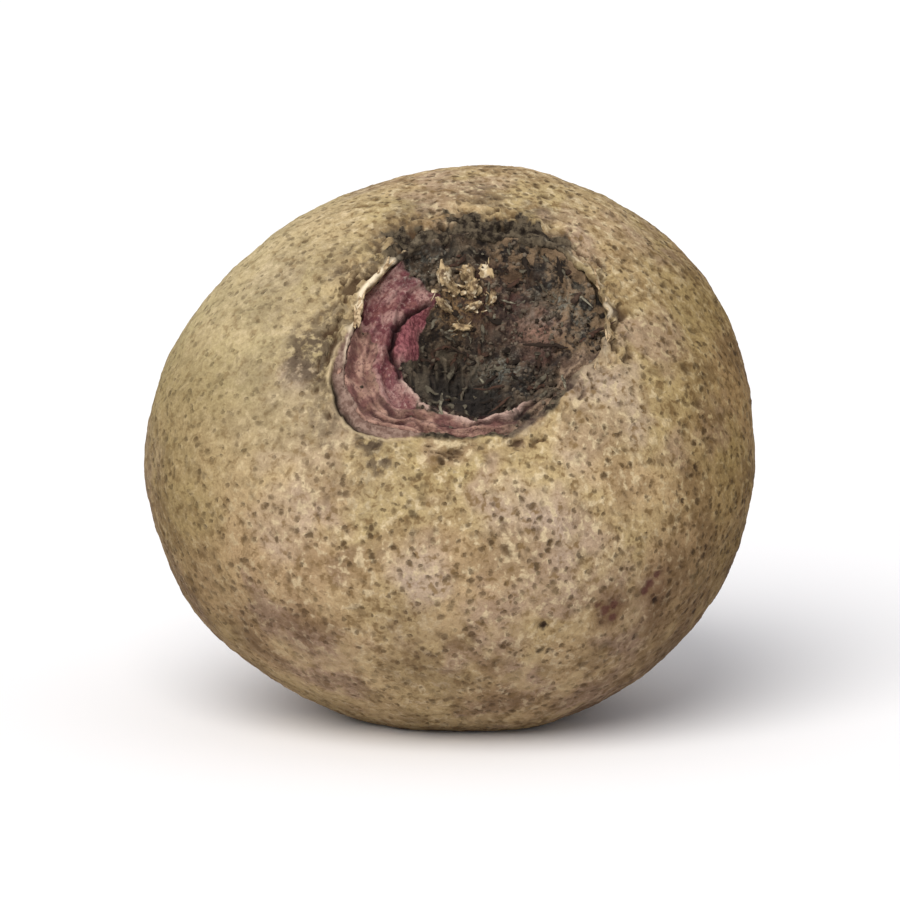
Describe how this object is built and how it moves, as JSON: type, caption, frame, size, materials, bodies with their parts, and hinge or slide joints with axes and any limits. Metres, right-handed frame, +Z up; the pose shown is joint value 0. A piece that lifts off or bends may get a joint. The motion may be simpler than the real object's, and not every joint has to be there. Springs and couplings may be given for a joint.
{
  "type": "beetroot",
  "caption": "Whole round beetroot with its leaves topped off: dusty tan pitted skin, a sunk torn crown scar with leaf-stalk stubs, and a short taproot; lies on a small flat spot.",
  "frame": {"origin": "on the surface that it lies on, in the middle of the flat spot under it", "axes": "+Z up from the surface, -Y towards the front, where the topped crown faces, +X to the right seen from the front"},
  "size_m": [0.0799, 0.0784, 0.07],
  "materials": {
    "root_skin": "dry matt corky root skin with fine pits and dusty soil, dark red flesh in the torn crown scar"
  },
  "bodies": {
    "root": {"beetroot": "root_skin"}
  },
  "joints": []
}
